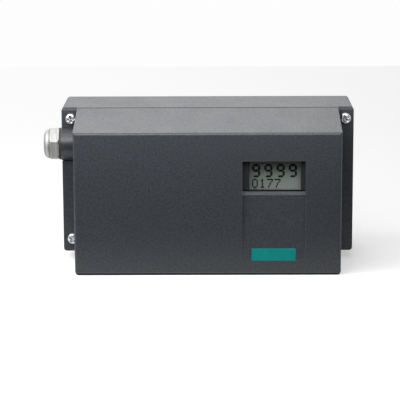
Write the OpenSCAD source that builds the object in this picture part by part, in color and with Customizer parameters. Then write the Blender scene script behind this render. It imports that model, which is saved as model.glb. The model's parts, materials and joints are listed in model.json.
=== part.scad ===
// Valve positioner: a moulded housing with a sloping cover, a display window and a cable gland.
// Inside are the feedback shaft with its gears, the air port block and the electronics.
// Millimetres. The origin lies on the feedback shaft's axis at the rear mounting face.
// The front looks along -Y, +X is to the right as seen from the front, and +Z is up.

/* [Housing] */
// Width of the cover between the screw ears
cover_w = 164.5; // [150:0.5:180]
// Width of each screw ear
ear_w = 10; // [9:0.5:14]
// Height of the housing
housing_h = 98.5; // [90:0.5:110]
// Depth from the rear face to the front of the ears
base_d = 48; // [44:0.5:56]
// How far the cover stands out ahead of the ears
cover_d = 43; // [40:0.5:52]
// Fall of the cover's sloping top towards the front
slope_drop = 9.4; // [7:0.2:13]
// Height of the ears' lower ends above the underside
ear_foot = 5.9; // [4:0.1:8]
// Bevel along the top edge of each ear
ear_bevel = 1.8; // [1:0.2:2.6]
// Thickness of the moulded walls
wall = 3.5; // [3:0.1:4]
// Rounding of the moulded outer edges
edge_r = 1.6; // [0.8:0.2:2.4]

/* [Cover screws] */
// Thread diameter of the cover screws
screw_d = 4; // [3.5:0.1:4.2]
// Head diameter of the cover screws
screw_head_d = 7.2; // [6.4:0.1:7.8]
// Distance of each screw from the end of its ear
screw_inset = 7.1; // [6:0.1:8]

/* [Display recess] */
// Width of the recess in the cover's front
recess_w = 38.9; // [36:0.1:42]
// Distance of the recess from the cover's right side
recess_side = 22.1; // [18:0.1:25]
// Top of the recess below the front's upper edge
recess_drop = 17.5; // [15:0.2:20]
// Depth of the recess at the window
recess_depth = 4.5; // [4:0.1:5.5]
// Height of the window
window_h = 18.6; // [16:0.2:21]
// Length of the ramp that runs out below the window
ramp_h = 39.5; // [30:0.5:42]
// Width of the shallow seat for the name plate
plate_seat_w = 27.6; // [22:0.2:32]
// Height of that seat
plate_seat_h = 8.2; // [6:0.2:10]

/* [Feedback shaft and gears] */
// Diameter of the feedback shaft
shaft_d = 8; // [7:0.1:8.6]
// How far the shaft stands out behind the rear face
shaft_out = 15; // [10:0.5:25]
// Tooth module of both gears
gear_module = 0.8; // [0.72:0.01:0.84]
// Teeth on the drive gear
drive_teeth = 48; // [40:1:50]
// Teeth on the potentiometer gear
pot_teeth = 18; // [17:1:22]

/* [Mounting] */
// Diameter of the circle through the four threaded inserts
insert_pcd = 50; // [48:0.5:56]
// Core diameter of the insert threads
insert_bore_d = 5; // [4.2:0.1:5.4]

/* [Cable gland] */
// Distance across the flats of the dome nut
gland_af = 18.8; // [18.2:0.2:20.6]
// Axis of the gland below the top of the housing
gland_drop = 23.4; // [21:0.2:28]
// Diameter of the boss that carries the gland
boss_d = 21.2; // [20:0.2:22.4]
// Bore of the rubber seal that grips the cable
cable_d = 8; // [5:0.2:9]

/* [Air ports] */
// Core diameter of the three port threads
port_d = 11.44; // [9:0.02:12]
// Spacing of the ports
port_pitch = 22; // [20:0.5:22.5]

/* [Hidden] */
$fn = 64;
small_fn = 32;

// Main planes of the housing
flange_t = 4;
lid_gap = 0.1;
top_z = housing_h / 2;
bottom_z = -housing_h / 2;
ear_y = -base_d;
split_y = ear_y + flange_t;
front_y = ear_y - cover_d;
body_back = ear_y + flange_t / 2;
front_top_z = top_z - slope_drop;
ear_low_z = bottom_z + ear_foot;
half_cover = cover_w / 2;
half_w = half_cover + ear_w;
room_x = half_cover - wall;
room_z = top_z - wall;
rear_wall = 4;
floor_y = -rear_wall;
corner_r = 2;
cover_corner_r = 3;
slope_step = 0.2;
slope_angle = atan((slope_drop - slope_step) / cover_d);

// Cover screws
head_h = 2.4;
screw_left = -half_cover - 4.1;
screw_right = half_cover + 4.8;
lower_step = 1;
upper_z = top_z - screw_inset;
lower_z = ear_low_z + screw_inset + lower_step;
shank_l = 16;
shank_gap = 0.3;
cross_w = 1;
cross_l = 4.2;
cross_depth = 1.4;

// Gasket between the cover and the base
gasket_w = 2;
gasket_groove = 1.4;
gasket_in = (wall - gasket_w) / 2;

// Display recess: window shelf, ledge and ramp
recess_right = half_cover - recess_side;
recess_left = recess_right - recess_w;
recess_x = (recess_left + recess_right) / 2;
recess_top = front_top_z - recess_drop;
shelf_y = front_y + recess_depth;
shelf_t = 3;
sill_h = 1;
ledge_h = 1.8;
ledge_high = recess_top - window_h - sill_h;
ledge_low = ledge_high - ledge_h;
ramp_depth = 2.6;
ramp_end = ledge_low - ramp_h;
plate_seat_depth = 0.8;
plate_seat_low = ramp_end - 1.9;
backing_rim = 3.5;
backing_y = shelf_y + shelf_t;
window_in_left = 4.4;
window_in_right = 2.9;
window_left = recess_left + window_in_left;
window_right = recess_right - window_in_right;
window_rim = 2.4;
window_gap = 0.1;
window_set = 0.4;
pane_t = 1.5;
pane_back = backing_y + pane_t;

// Electronics: carrier plate, module case, board, display and keys
post_r = 4;
post_in = 5;
post_z = room_z - post_r - 1.5;
carrier_t = 3;
carrier_back = split_y + 1;
carrier_front = carrier_back - carrier_t;
wiring_w = 28.75;
carrier_left = -room_x + wiring_w;
carrier_z = room_z - 1.3;
case_wall = 2;
lcd_gap = 1.3;
lcd_stand = 1.5;
lcd_front = pane_back + lcd_gap;
case_front = lcd_front + lcd_stand;
case_inside = case_front + case_wall;
case_out_left = 27;
case_out_right = 4;
case_out_top = 11;
case_out_low = 7;
case_left = recess_left - case_out_left;
case_right = recess_right + case_out_right;
case_top = recess_top + case_out_top;
carrier_lip = 0.5;
carrier_right = case_right + carrier_lip;
lcd_margin = 1;
lcd_rim = 1.4;
lcd_rim_t = 2;
board_stand = 4.4;
board_front = case_inside + board_stand;
board_t = 1.6;
board_gap = 0.6;
board_boss_r = 2.6;
board_boss_in = 3.4;
key_r = 4;
key_gap = 0.15;
key_rim = 1.2;
key_rim_t = 1;
key_out = 2;
key_pitch = 12.4;
key_drop = 12;
key_z = recess_top - window_h - key_drop;
case_low = key_z - key_r - key_rim - case_out_low;
key_x = [recess_x - key_pitch, recess_x, recess_x + key_pitch];
switch_h = 2.2;
switch_w = 6;
chip_t = 1.8;
chip_w = 14;
chip_in = 7;
chip_step = 18;

// Terminal block on the carrier
term_left = carrier_left + 2 * post_in;
term_w = 16;
term_pitch = 8;
term_count = 8;
term_d = 14;
term_screw_r = 2.4;
term_wire_r = 1.8;
term_half = term_pitch * term_count / 2;
term_hole = 6;
term_wire_y = 3.5;
term_screw_set = 0.6;

// Small machine screws inside
m3_r = 1.5;
m3_head_r = 2.75;
m3_head_h = 2;
m3_slot_w = 0.7;
m3_slot_depth = 0.8;
m3_bite = 7;
board_screw_r = 1.25;
board_screw_head_r = 2.25;
board_screw_head_h = 1.6;
board_screw_bite = 3.5;

// Feedback shaft stack, from the rear wall forward
shaft_r = shaft_d / 2;
journal_r = shaft_r + 0.5;
run_gap = 0.05;
insert_boss_l = 8;
insert_boss_r = 7;
insert_l = 10;
insert_r = 4.5;
bush_r = journal_r + 2.5;
bush_rim_r = journal_r + 4.5;
bush_rim_t = 1.5;
seal_t = 1.5;
collar_r = journal_r + 2;
collar_back = floor_y - bush_rim_t - 0.1;
gear_back = floor_y - insert_boss_l - 1;
gear_t = 4;
washer_t = 1;
washer_r = shaft_r + 5;
wheel_back = gear_back - gear_t - washer_t;
wheel_t = 6;
wheel_r = 15;
wheel_ribs = 48;
wheel_rib_h = 0.5;
clip_back = wheel_back - wheel_t;
clip_t = 1;
clip_w = 2.2;
clip_groove = 0.6;
shaft_front = clip_back - clip_t - 1.5;
shaft_chamfer = 0.5;

// Gear teeth: involute flanks at the usual pressure angle, thinned for play
pressure = 20;
mesh_play = 0.07;
flank_steps = 4;
centre_play = 0.06;
drive_r = gear_module * drive_teeth / 2;
pot_pitch_r = gear_module * pot_teeth / 2;
pot_z = -(drive_r + pot_pitch_r + centre_play);

// Potentiometer and its bracket
pot_shaft_r = 3;
pot_r = 8;
pot_l = 10;
pot_neck_r = 4.5;
plate_t = 2;
plate_back = gear_back - gear_t - 3;
plate_front = plate_back - plate_t;
plate_half = 20;
plate_top = -(wheel_r + 1.6);
plate_low = bottom_z + wall + 1;
plate_post_r = 3.5;
plate_post_x = 15;
plate_post_z = plate_low + 4.5;
pot_shaft_front = plate_front - 8;

// Cable gland, from the housing outward; its boss passes through a slot in the cover's side
boss_r = boss_d / 2;
boss_out = 0.2;
boss_set = 2.8;
boss_y = ear_y + boss_set;
boss_z = top_z - gland_drop;
boss_gap = 0.4;
arch_gap = 0.3;
arch_t = 1;
slot_r = boss_r + arch_gap + arch_t;
boss_end = -(half_w + boss_out);
gland_thread_r = 8;
gland_bore_r = 5.6;
ring_t = 1.4;
ring_r = boss_r - 0.5;
nut_hex_l = 6.2;
nut_dome_l = 3.5;
nut_turn = 45;
nut_end = boss_end - ring_t;
hex_end = nut_end - nut_hex_l;
dome_end = hex_end - nut_dome_l;
dome_r = gland_af / 2 - 0.1;
gland_face = hex_end + 1;
seal_l = 9;

// Air port block in the right wall
block_back = -12;
block_front = -36;
block_end = 10;
block_z = port_pitch + block_end;
block_gap = 0.25;
block_in = 12.75;
block_inset = 0.3;
block_inner = room_x - block_in;
block_outer = half_w - block_inset;
block_rim = 8;
block_rim_y = 3;
block_rim_t = 4;
block_screw_y = 6;
block_screw_z = block_z + block_rim / 2 + 0.3;
port_depth = 13;
duct_r = 2;
duct_wall = 4;
restrictor_r = 2.5;
restrictor_head_r = 3.5;
restrictor_head = 2;
restrictor_l = 9;
restrictor_end_gap = 0.5;
restrictor_slot_w = 1;
restrictor_slot_depth = 0.9;
restrictor_x = (block_inner + room_x - block_rim_t) / 2;
restrictor_z = port_pitch / 2;
pilot_w = 26;
pilot_left = block_inner - pilot_w;
pilot_half = 18;
pilot_in = 2;
cap_r = 7;
cap_l = 4;
cap_z = pilot_half / 2;
silencer_r = 6;
silencer_side = 8;
silencer_x = block_inner - silencer_side;
silencer_y = (block_back + block_front) / 2;
silencer_in = 1.2;
silencer_set = 0.6;

// Ribbed hollows in the back of the left ear
core_w = ear_w - 3;
core_h = 11;
core_step = core_h + 2.5;
core_count = 3;
core_low = lower_z + 4;
core_depth = base_d - flange_t - 6;

// Colours
shell_colour = "#3a3c41";
rubber_colour = "#1f1f21";
steel_colour = "#c9ccd0";
nickel_colour = "#b9bcbf";
brass_colour = "#b8963e";
alloy_colour = "#a7abb0";
board_colour = "#1f6a43";
lcd_colour = "#7a8276";
pale_colour = "#d8d6cc";
grey_colour = "#6d7075";
amber_colour = "#7b5a35";

// A box given by its lower and upper limits on each axis
module span(x, y, z) {
    translate([x[0], y[0], z[0]])
        cube([x[1] - x[0], y[1] - y[0], z[1] - z[0]]);
}

// A round bar along X
module rod_x(r, x, y, z) {
    translate([x[0], y, z])
        rotate([0, 90, 0])
            cylinder(r = r, h = x[1] - x[0]);
}

// A round bar along Y
module rod_y(r, x, y, z) {
    translate([x, y[0], z])
        rotate([-90, 0, 0])
            cylinder(r = r, h = y[1] - y[0]);
}

// A round bar along Z
module rod_z(r, x, y, z) {
    translate([x, y, z[0]])
        cylinder(r = r, h = z[1] - z[0]);
}

// An outline drawn in X and Z, carried along Y
module along_y(y) {
    translate([0, y[1], 0])
        rotate([90, 0, 0])
            linear_extrude(y[1] - y[0])
                children();
}

// An outline drawn in Y and Z, carried along X
module along_x(x) {
    translate([x[0], 0, 0])
        rotate([90, 0, 90])
            linear_extrude(x[1] - x[0])
                children();
}

// An outline drawn in X and Y, carried along Z
module along_z(z) {
    translate([0, 0, z[0]])
        linear_extrude(z[1] - z[0])
            children();
}

// A rectangle between two limits on each axis
module pane(u, v) {
    translate([u[0], v[0]])
        square([u[1] - u[0], v[1] - v[0]]);
}

// A rectangle with round corners
module round_pane(u, v, r) {
    pane([u[0] + r, u[1] - r], v);
    pane(u, [v[0] + r, v[1] - r]);
    for (a = [u[0] + r, u[1] - r])
        for (b = [v[0] + r, v[1] - r])
            translate([a, b])
                circle(r);
}

// Outline of the housing across the ears, seen from the front
module ear_outline() {
    round_pane([-half_w, half_w], [ear_low_z, top_z], corner_r);
    round_pane([-half_cover, half_cover], [bottom_z, top_z], corner_r);
}

// Side outline of the cover: a flat front, a sloping top and rounded front edges
module cover_side(r) {
    mid_y = front_y + r;
    mid_z = front_top_z - r * tan(45 - slope_angle / 2);
    low_z = bottom_z + r;
    polygon([
        [body_back, bottom_z], [mid_y, bottom_z], [front_y, low_z], [front_y, mid_z],
        [mid_y - r * sin(slope_angle), mid_z + r * cos(slope_angle)],
        [ear_y, top_z - slope_step], [body_back, top_z - slope_step]
    ]);
    translate([mid_y, mid_z])
        circle(r);
    translate([mid_y, low_z])
        circle(r);
}

// Room inside the cover, as a side outline
module cover_room() {
    polygon([
        [split_y + 1, -room_z], [front_y + wall, -room_z], [front_y + wall, front_top_z - wall],
        [ear_y, room_z], [split_y + 1, room_z]
    ]);
}

// Side outline of the display recess, with its shelf, ledge and ramp
module recess_profile() {
    out = front_y - 1;
    polygon([
        [out, recess_top], [shelf_y, recess_top], [shelf_y, ledge_high],
        [front_y + ramp_depth, ledge_low], [front_y, ramp_end], [out, ramp_end]
    ]);
}

// Outline in Y and Z that goes round the gland boss, straight towards the rear
module boss_outline(r, back) {
    intersection() {
        union() {
            translate([boss_y, boss_z])
                circle(r);
            pane([boss_y, back], [boss_z - r, boss_z + r]);
        }
        pane([boss_y - r - 1, back], [boss_z - r - 1, boss_z + r + 1]);
    }
}

// Places of the three cover screws, under their heads
screw_seats = [
    [screw_left, ear_y, upper_z],
    [screw_right, ear_y, upper_z],
    [screw_left, ear_y, lower_z]
];

// A small slotted screw, head forward, with its head seated at y
module m3_screw(x, y, z) {
    difference() {
        union() {
            rod_y(m3_head_r, x, [y - m3_head_h, y], z, $fn = small_fn);
            rod_y(m3_r, x, [y, y + m3_bite], z, $fn = small_fn);
        }
        span([x - m3_head_r, x + m3_head_r],
             [y - m3_head_h - 1, y - m3_head_h + m3_slot_depth],
             [z - m3_slot_w / 2, z + m3_slot_w / 2]);
    }
}

// Places of the mounting inserts on their circle
insert_places = [for (a = [45 : 90 : 315]) insert_pcd / 2 * [cos(a), sin(a)]];
post_places = [
    for (x = [carrier_left + post_in, carrier_right - 4 * post_in], z = [-post_z, post_z]) [x, z]
];
plate_posts = [[-plate_post_x, plate_post_z], [plate_post_x, plate_post_z]];
board_places = [
    for (x = [case_left + case_wall + board_boss_in, case_right - case_wall - board_boss_in],
         z = [case_low + case_wall + board_boss_in, case_top - case_wall - board_boss_in]) [x, z]
];
block_screws_at = [
    for (y = [block_front + block_screw_y, block_back - block_screw_y],
         z = [-block_screw_z, block_screw_z]) [y, z]
];

// Moulded tray with the ears, gland boss, posts and rear bosses
module base_shell() {
    color(shell_colour)
    difference() {
        union() {
            difference() {
                along_y([split_y, 0])
                    ear_outline();
                span([-room_x, room_x], [split_y - 1, floor_y], [-room_z, room_z]);
            }
            rod_x(boss_r, [boss_end, -room_x], boss_y, boss_z);
            span([-half_w, -room_x], [boss_y, split_y + 1], [boss_z - boss_r, boss_z + boss_r]);
            for (p = insert_places)
                rod_y(insert_boss_r, p[0], [floor_y - insert_boss_l, floor_y], p[1]);
            for (p = post_places)
                rod_y(post_r, p[0], [carrier_back, floor_y], p[1]);
            for (p = plate_posts)
                rod_y(plate_post_r, p[0], [plate_back, floor_y], p[1]);
        }
        for (p = insert_places)
            rod_y(insert_r, p[0], [-insert_l, 1], p[1]);
        for (p = post_places)
            rod_y(m3_r, p[0], [carrier_back - 1, carrier_back + m3_bite], p[1], $fn = small_fn);
        for (p = plate_posts)
            rod_y(m3_r, p[0], [plate_back - 1, plate_back + m3_bite], p[1], $fn = small_fn);
        rod_y(bush_r, 0, [floor_y - 1, 1], 0);
        rod_x(gland_thread_r, [boss_end - 1, -room_x + 1], boss_y, boss_z);
        for (s = screw_seats)
            rod_y(screw_d / 2 + shank_gap, s[0], [split_y - 1, s[1] + shank_l + 1], s[2], $fn = small_fn);
        span([room_x - 1, half_w + 1],
             [block_front - block_gap, block_back + block_gap],
             [-block_z - block_gap, block_z + block_gap]);
        for (p = block_screws_at)
            rod_x(m3_r, [room_x - 1, room_x + m3_bite - block_rim_t], p[0], p[1], $fn = small_fn);
        rod_z(silencer_r, silencer_x, silencer_y, [bottom_z - 1, -room_z + 1]);
        for (i = [0 : core_count - 1])
            span([-half_w + 1.5, -half_w + 1.5 + core_w], [-core_depth, 1],
                 [core_low + i * core_step, core_low + i * core_step + core_h]);
    }
}

// Front cover with its sloping top, screw flange and display recess
module cover_shell() {
    color(shell_colour)
    difference() {
        union() {
            difference() {
                union() {
                    intersection() {
                        along_x([-half_cover, half_cover])
                            cover_side(edge_r);
                        along_y([front_y, body_back])
                            round_pane([-half_cover, half_cover],
                                       [bottom_z, top_z + cover_corner_r], cover_corner_r);
                        along_z([bottom_z, top_z])
                            round_pane([-half_cover, half_cover], [front_y, split_y], edge_r);
                    }
                    along_y([ear_y, split_y - lid_gap])
                        ear_outline();
                }
                along_x([-room_x, room_x])
                    cover_room();
            }
            span([recess_left - backing_rim, recess_right + backing_rim], [front_y + wall, backing_y],
                 [ramp_end, recess_top + backing_rim]);
        }
        along_x([recess_left, recess_right])
            recess_profile();
        span([recess_x - plate_seat_w / 2, recess_x + plate_seat_w / 2],
             [front_y - 1, front_y + plate_seat_depth], [plate_seat_low, plate_seat_low + plate_seat_h]);
        span([window_left, window_right], [shelf_y - 1, backing_y + 1],
             [recess_top - window_h, recess_top]);
        along_x([-half_w - 1, -half_cover + 1])
            boss_outline(boss_r + boss_gap, split_y + 1);
        along_x([-half_cover, -room_x + 1])
            boss_outline(slot_r, split_y + 1);
        for (x = [[-half_w - 1, -half_cover], [half_cover, half_w + 1]])
            along_x(x)
                polygon([
                    [ear_y - 1, top_z - ear_bevel - 1], [ear_y + ear_bevel + 1, top_z + 1],
                    [ear_y - 1, top_z + 1]
                ]);
        for (s = screw_seats)
            rod_y(screw_d / 2 + shank_gap, s[0], [ear_y - 1, split_y + 1], s[2], $fn = small_fn);
        along_y([split_y - lid_gap - gasket_groove, split_y + 1])
            gasket_ring();
    }
}

// Outline of the sealing ring around the opening
module gasket_ring() {
    inner_x = room_x + gasket_in;
    inner_z = room_z + gasket_in;
    difference() {
        pane([-inner_x - gasket_w, inner_x + gasket_w], [-inner_z - gasket_w, inner_z + gasket_w]);
        pane([-inner_x, inner_x], [-inner_z, inner_z]);
    }
}

// Rubber gasket seated in the cover's groove, with an arch over the gland boss
module cover_gasket() {
    arch_x = -room_x - gasket_in;
    color(rubber_colour)
    difference() {
        union() {
            along_y([split_y - lid_gap - gasket_groove, split_y])
                gasket_ring();
            along_x([arch_x - gasket_w, arch_x])
                boss_outline(slot_r, split_y);
        }
        along_x([arch_x - gasket_w - 1, arch_x + 1])
            boss_outline(slot_r - arch_t, split_y + 1);
    }
}

// Three cross-recessed screws that hold the cover
module cover_screws() {
    r = screw_head_d / 2;
    color(steel_colour)
    for (s = screw_seats)
        translate(s)
            rotate([-90, 0, 0])
                difference() {
                    union() {
                        cylinder(r = screw_d / 2 - run_gap, h = shank_l, $fn = small_fn);
                        rotate([180, 0, 0])
                            rotate_extrude()
                                polygon([
                                    [0, 0], [r, 0], [r, head_h * 0.55], [r * 0.72, head_h], [0, head_h]
                                ]);
                    }
                    for (a = [45, 135])
                        rotate([0, 0, a])
                            translate([-cross_l / 2, -cross_w / 2, -head_h - 1])
                                cube([cross_l, cross_w, cross_depth + 1]);
                }
}

// Clear stepped window glued in from inside the cover
module display_window() {
    color("#c8d2d0")
    union() {
        span([window_left + window_gap, window_right - window_gap], [shelf_y + window_set, backing_y],
             [recess_top - window_h + window_gap, recess_top - window_gap]);
        span([window_left - window_rim, window_right + window_rim], [backing_y, pane_back],
             [recess_top - window_h - window_rim, recess_top + window_rim]);
    }
}

// Four brass thread inserts in the rear face
module mounting_inserts() {
    color(brass_colour)
    for (p = insert_places)
        difference() {
            rod_y(insert_r, p[0], [-insert_l, 0], p[1]);
            rod_y(insert_bore_d / 2, p[0], [-insert_l - 1, 1], p[1]);
        }
}

// Flanged plain bearing for the feedback shaft
module shaft_bush() {
    color(brass_colour)
    difference() {
        union() {
            rod_y(bush_r, 0, [floor_y, -seal_t], 0);
            rod_y(bush_rim_r, 0, [floor_y - bush_rim_t, floor_y], 0);
        }
        rod_y(journal_r + run_gap, 0, [floor_y - bush_rim_t - 1, 0], 0);
    }
}

// Rubber ring that keeps dirt out of the bearing
module shaft_seal() {
    color(rubber_colour)
    difference() {
        rod_y(bush_r, 0, [-seal_t, 0], 0);
        rod_y(journal_r + run_gap, 0, [-seal_t - 1, 1], 0);
    }
}

// Feedback shaft with a collar, a clip groove and a chamfered free end
module feedback_shaft() {
    color(steel_colour)
    difference() {
        union() {
            rod_y(shaft_r, 0, [shaft_front, shaft_out - shaft_chamfer], 0);
            translate([0, shaft_out - shaft_chamfer, 0])
                rotate([-90, 0, 0])
                    cylinder(r1 = shaft_r, r2 = shaft_r - shaft_chamfer, h = shaft_chamfer);
            rod_y(collar_r, 0, [gear_back, collar_back], 0);
            rod_y(journal_r, 0, [collar_back, 0], 0);
        }
        difference() {
            rod_y(shaft_r + 1, 0, [clip_back - clip_t, clip_back], 0);
            rod_y(shaft_r - clip_groove, 0, [clip_back - clip_t - 1, clip_back + 1], 0);
        }
    }
}

// Angle by which an involute runs ahead of its base radius
function involute(angle) = tan(angle) * 180 / PI - angle;

// Half of a tooth's angular thickness at radius r
function half_tooth(r, pitch_r, teeth) =
    90 / teeth - mesh_play / pitch_r * 180 / PI + involute(pressure)
    - (r > pitch_r * cos(pressure) ? involute(acos(pitch_r * cos(pressure) / r)) : 0);

// Outline of a spur gear with one tooth on the first axis
module gear_outline(teeth) {
    pitch_r = gear_module * teeth / 2;
    root_r = pitch_r - 1.25 * gear_module;
    step = 2.2 * gear_module / flank_steps;
    radii = [for (k = [0 : flank_steps]) root_r + k * step];
    polygon([
        for (i = [0 : teeth - 1])
            for (k = [0 : 2 * flank_steps + 1])
                let (r = radii[k <= flank_steps ? k : 2 * flank_steps + 1 - k],
                     side = k <= flank_steps ? -1 : 1,
                     a = 360 * i / teeth + side * half_tooth(r, pitch_r, teeth))
                r * [cos(a), sin(a)]
    ]);
}

// Large gear on the feedback shaft
module drive_gear() {
    color(pale_colour)
    difference() {
        along_y([gear_back - gear_t, gear_back])
            rotate(-90)
                gear_outline(drive_teeth);
        rod_y(shaft_r, 0, [gear_back - gear_t - 1, gear_back + 1], 0);
    }
}

// Spring washer that presses the clutch wheel on the gear
module clutch_washer() {
    color(steel_colour)
    difference() {
        rod_y(washer_r, 0, [wheel_back, wheel_back + washer_t], 0);
        rod_y(shaft_r, 0, [wheel_back - 1, wheel_back + washer_t + 1], 0);
    }
}

// Ribbed wheel of the slipping clutch, turned by hand to set the zero
module clutch_wheel() {
    color("#c9a227")
    difference() {
        along_y([wheel_back - wheel_t, wheel_back])
            polygon([
                for (i = [0 : 2 * wheel_ribs - 1])
                    (wheel_r - (i % 2) * wheel_rib_h) * [cos(180 * i / wheel_ribs), sin(180 * i / wheel_ribs)]
            ]);
        rod_y(shaft_r, 0, [wheel_back - wheel_t - 1, wheel_back + 1], 0);
    }
}

// Open spring clip that keeps the stack on the shaft
module shaft_circlip() {
    color(steel_colour)
    difference() {
        rod_y(shaft_r - clip_groove + clip_w, 0, [clip_back - clip_t, clip_back], 0);
        rod_y(shaft_r - clip_groove, 0, [clip_back - clip_t - 1, clip_back + 1], 0);
        span([-clip_w / 2, clip_w / 2], [clip_back - clip_t - 1, clip_back + 1], [0, shaft_r + clip_w]);
    }
}

// Body of the potentiometer, clamped in the bracket by its neck
module potentiometer() {
    color("#2f5d8a")
    difference() {
        union() {
            rod_y(pot_r, 0, [plate_front - pot_l, plate_front], pot_z);
            rod_y(pot_neck_r, 0, [plate_front, plate_back], pot_z);
        }
        rod_y(pot_shaft_r + run_gap, 0, [pot_shaft_front - run_gap, plate_back + 1], pot_z);
    }
}

// Shaft of the potentiometer
module pot_shaft() {
    color(steel_colour)
    rod_y(pot_shaft_r, 0, [pot_shaft_front, gear_back + 0.5], pot_z);
}

// Small gear on the potentiometer's shaft, with a gap facing the drive gear
module pot_gear() {
    color(pale_colour)
    difference() {
        along_y([gear_back - gear_t, gear_back])
            translate([0, pot_z])
                rotate(90 + 180 / pot_teeth)
                    gear_outline(pot_teeth);
        rod_y(pot_shaft_r, 0, [gear_back - gear_t - 1, gear_back + 1], pot_z);
    }
}

// Bracket plate that carries the potentiometer
module sensor_plate() {
    color(alloy_colour)
    difference() {
        span([-plate_half, plate_half], [plate_front, plate_back], [plate_low, plate_top]);
        rod_y(pot_neck_r, 0, [plate_front - 1, plate_back + 1], pot_z);
        for (p = plate_posts)
            rod_y(m3_r, p[0], [plate_front - 1, plate_back + 1], p[1], $fn = small_fn);
    }
}

// Two screws of the bracket plate
module sensor_screws() {
    color(steel_colour)
    for (p = plate_posts)
        m3_screw(p[0], plate_front, p[1]);
}

// Threaded body of the cable gland
module gland_body() {
    color(nickel_colour)
    difference() {
        rod_x(gland_thread_r, [gland_face, -room_x], boss_y, boss_z);
        rod_x(gland_bore_r, [gland_face - 1, -room_x + 1], boss_y, boss_z);
    }
}

// Sealing ring between the gland and its boss
module gland_o_ring() {
    color(amber_colour)
    difference() {
        rod_x(ring_r, [nut_end, boss_end], boss_y, boss_z);
        rod_x(gland_thread_r, [nut_end - 1, boss_end + 1], boss_y, boss_z);
    }
}

// Rubber sleeve that grips the cable
module gland_seal() {
    color(rubber_colour)
    difference() {
        rod_x(gland_bore_r, [dome_end + 1, dome_end + 1 + seal_l], boss_y, boss_z);
        rod_x(cable_d / 2, [dome_end, dome_end + 2 + seal_l], boss_y, boss_z);
    }
}

// Dome nut with a hexagon and a rounded nose
module gland_dome_nut() {
    color(nickel_colour)
    difference() {
        translate([nut_end, boss_y, boss_z])
            rotate([0, -90, 0])
                union() {
                    intersection() {
                        rotate(nut_turn)
                            cylinder(r = gland_af / 2 / cos(30), h = nut_hex_l, $fn = 6);
                        rotate_extrude()
                            polygon([
                                [0, 0], [gland_af / 2 + 0.5, 0], [gland_af / 2 + 1.4, 0.6],
                                [gland_af / 2 + 1.4, nut_hex_l - 1], [gland_af / 2 + 0.1, nut_hex_l],
                                [0, nut_hex_l]
                            ]);
                    }
                    translate([0, 0, nut_hex_l])
                        rotate_extrude() {
                            pane([0, dome_r - nut_dome_l], [0, nut_dome_l]);
                            pane([0, dome_r], [-1, 0]);
                            intersection() {
                                translate([dome_r - nut_dome_l, 0])
                                    circle(nut_dome_l);
                                pane([0, dome_r], [0, nut_dome_l]);
                            }
                        }
                }
        rod_x(gland_thread_r, [gland_face, nut_end + 1], boss_y, boss_z);
        rod_x(gland_bore_r, [dome_end - 1, nut_end + 1], boss_y, boss_z);
    }
}

// Metal block with the three threaded air ports
module port_block() {
    color(alloy_colour)
    difference() {
        union() {
            span([block_inner, block_outer], [block_front, block_back], [-block_z, block_z]);
            span([room_x - block_rim_t, room_x],
                 [block_front - block_rim_y, block_back + block_rim_y],
                 [-block_z - block_rim, block_z + block_rim]);
        }
        for (i = [-1 : 1]) {
            rod_x(port_d / 2, [block_outer - port_depth, block_outer + 1], silencer_y, i * port_pitch);
            rod_x(duct_r, [block_inner + duct_wall, block_outer], silencer_y, i * port_pitch, $fn = small_fn);
        }
        for (z = [-restrictor_z, restrictor_z])
            rod_y(restrictor_r + run_gap, restrictor_x,
                  [block_front - 1, block_front + restrictor_l + restrictor_end_gap], z);
        for (p = block_screws_at)
            rod_x(m3_r, [room_x - block_rim_t - 1, room_x + 1], p[0], p[1], $fn = small_fn);
    }
}

// Four screws of the port block
module block_screws() {
    color(steel_colour)
    for (p = block_screws_at)
        translate([room_x - block_rim_t, p[0], p[1]])
            rotate([0, 0, -90])
                m3_screw(0, 0, 0);
}

// Pilot valve unit with two round piezo caps
module pilot_valve() {
    color(grey_colour)
    union() {
        span([pilot_left, block_inner], [block_front + pilot_in, block_back - pilot_in],
             [-pilot_half, pilot_half]);
        for (z = [-cap_z, cap_z])
            rod_x(cap_r, [pilot_left - cap_l, pilot_left], silencer_y, z);
    }
}

// A restrictor screw with a slotted head
module restrictor(z) {
    color(brass_colour)
    difference() {
        union() {
            rod_y(restrictor_r, restrictor_x, [block_front - run_gap, block_front + restrictor_l], z);
            rod_y(restrictor_head_r, restrictor_x,
                  [block_front - restrictor_head - run_gap, block_front - run_gap], z);
        }
        span([restrictor_x - restrictor_head_r, restrictor_x + restrictor_head_r],
             [block_front - restrictor_head - 1, block_front - restrictor_head + restrictor_slot_depth],
             [z - restrictor_slot_w / 2, z + restrictor_slot_w / 2]);
    }
}

// Restrictor of the upper air port
module restrictor_upper() {
    restrictor(restrictor_z);
}

// Restrictor of the lower air port
module restrictor_lower() {
    restrictor(-restrictor_z);
}

// Sintered silencer of the exhaust, set in the underside
module exhaust_silencer() {
    color(brass_colour)
    rod_z(silencer_r, silencer_x, silencer_y, [bottom_z + silencer_set, -room_z + silencer_in]);
}

// Plate on the four posts that carries the electronics
module electronics_carrier() {
    color(rubber_colour)
    difference() {
        span([carrier_left, carrier_right], [carrier_front, carrier_back], [-carrier_z, carrier_z]);
        for (p = post_places)
            rod_y(m3_r, p[0], [carrier_front - 1, carrier_back + 1], p[1], $fn = small_fn);
    }
}

// Four screws of the carrier
module carrier_screws() {
    color(steel_colour)
    for (p = post_places)
        m3_screw(p[0], carrier_front, p[1]);
}

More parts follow.
